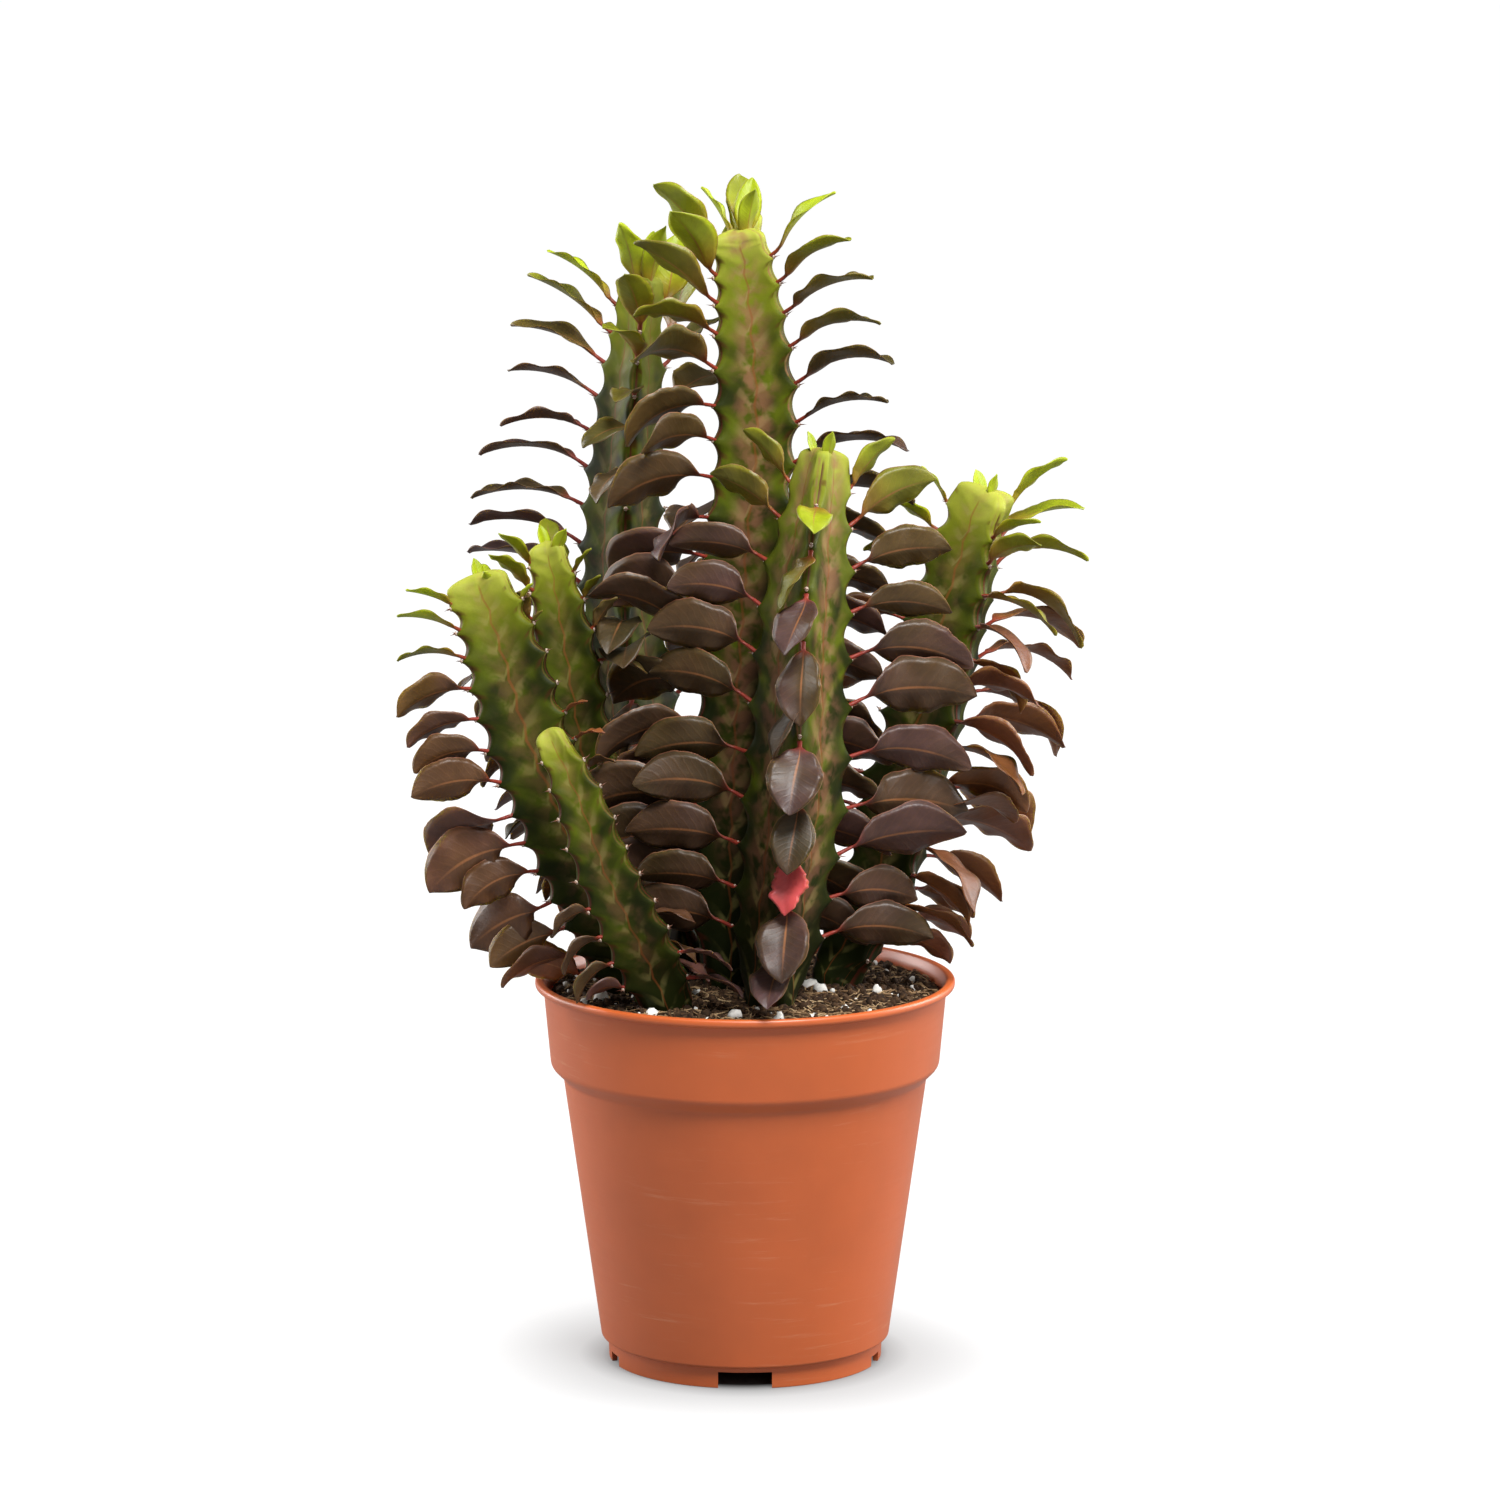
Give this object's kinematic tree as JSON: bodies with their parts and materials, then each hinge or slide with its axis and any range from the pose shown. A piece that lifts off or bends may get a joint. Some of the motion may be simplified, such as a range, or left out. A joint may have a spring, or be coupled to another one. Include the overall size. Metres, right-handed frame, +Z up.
{
  "type": "potted three-winged euphorbia",
  "caption": "Potted euphorbia: three-winged toothed stems with paddle-shaped leaves, standing in soil in a round nursery pot with a banded rim and a notched foot.",
  "frame": {"origin": "on the ground under the middle of the whole plant's box, which is the pot's axis within 3 mm", "axes": "+Z up along the pot's axis, -Y towards the front of the plant, +X to its right as seen from the front"},
  "size_m": [0.2787, 0.182, 0.4815],
  "materials": {
    "pot": "satin terracotta-orange injection-moulded plastic with faint scuffs",
    "soil": null,
    "plant": "satin succulent skin, lime at the tips and green to purple-brown below; rubber stands in for water-filled plant tissue of about its density"
  },
  "bodies": {
    "root": {"pot": "pot", "soil": "soil", "stem_front": "plant", "stem_tallest": "plant", "stem_tall_left": "plant", "stem_right": "plant", "stem_outer_left": "plant", "stem_short": "plant", "stem_inner_left": "plant"}
  },
  "joints": []
}
